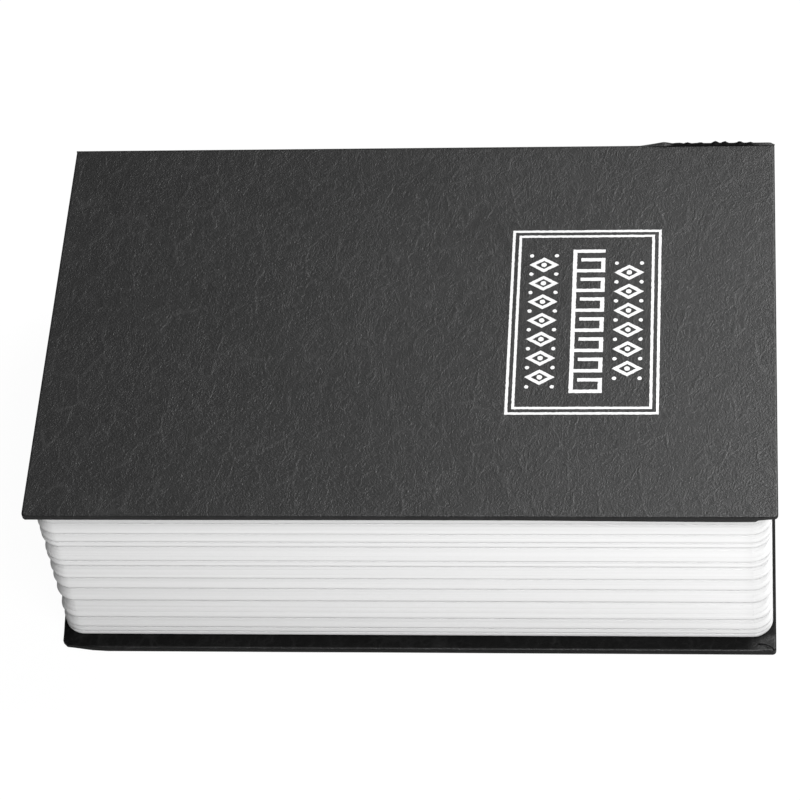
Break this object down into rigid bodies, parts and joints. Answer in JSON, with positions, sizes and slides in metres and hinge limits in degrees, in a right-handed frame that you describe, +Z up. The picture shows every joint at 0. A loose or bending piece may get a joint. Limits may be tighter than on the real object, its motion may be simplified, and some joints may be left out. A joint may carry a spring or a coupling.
{
  "type": "book diversion safe",
  "caption": "Book-shaped safe: a hinged leatherette cover over a moulded page block that holds a small steel box with a hinged lid and a keyed cam lock.",
  "frame": {"origin": "under the middle of the closed book, on the surface that its back cover lies on", "axes": "+X to the head of the book, +Y to the spine with the fore edge at -Y, +Z up out of the front cover"},
  "size_m": [0.18, 0.1174, 0.06],
  "materials": {
    "leatherette": "satin",
    "silver_foil": "satin",
    "grey_board": "matte",
    "endpaper": "matte",
    "page_plastic": "satin",
    "painted_steel": "satin",
    "plated_steel": "satin",
    "chrome_plate": "polished",
    "rivet_aluminium": "satin"
  },
  "bodies": {
    "case": {"back_board": "grey_board", "back_covering": "leatherette", "back_pastedown": "endpaper", "back_joint": "leatherette", "spine_board": "grey_board", "spine_covering": "leatherette", "page_block": "page_plastic", "steel_box": "painted_steel", "box_rivet_1": "rivet_aluminium", "box_rivet_2": "rivet_aluminium", "box_rivet_3": "rivet_aluminium", "box_rivet_4": "rivet_aluminium", "box_hinge_leaf": "plated_steel", "hinge_pin": "plated_steel"},
    "front_cover": {"front_board": "grey_board", "front_covering": "leatherette", "front_pastedown": "endpaper", "front_joint": "leatherette"},
    "lid": {"box_lid": "painted_steel", "lid_hinge_leaf": "plated_steel", "lock_housing": "chrome_plate", "lock_washer": "plated_steel", "lock_nut": "plated_steel"},
    "plug": {"lock_plug": "chrome_plate", "lock_cam": "plated_steel", "cam_washer": "plated_steel", "cam_screw": "plated_steel"}
  },
  "joints": [
    {"name": "cover_hinge", "type": "hinge", "parent": "case", "child": "front_cover", "pos_m": [0, 0.0576, 0.0585], "axis": [-1, 0, 0], "range_deg": [0, 180], "deforming": ["front_joint"]},
    {"name": "lid_hinge", "type": "hinge", "parent": "case", "child": "lid", "pos_m": [0, 0.0487, 0.05325], "axis": [-1, 0, 0], "range_deg": [0, 99]},
    {"name": "lock_turn", "type": "hinge", "parent": "lid", "child": "plug", "pos_m": [0, -0.02855, 0.0572], "axis": [0, 0, -1], "range_deg": [0, 90]}
  ],
  "couplings": [
    {"joint": "lid_hinge", "follows": "cover_hinge", "ratio": 0.55}
  ]
}
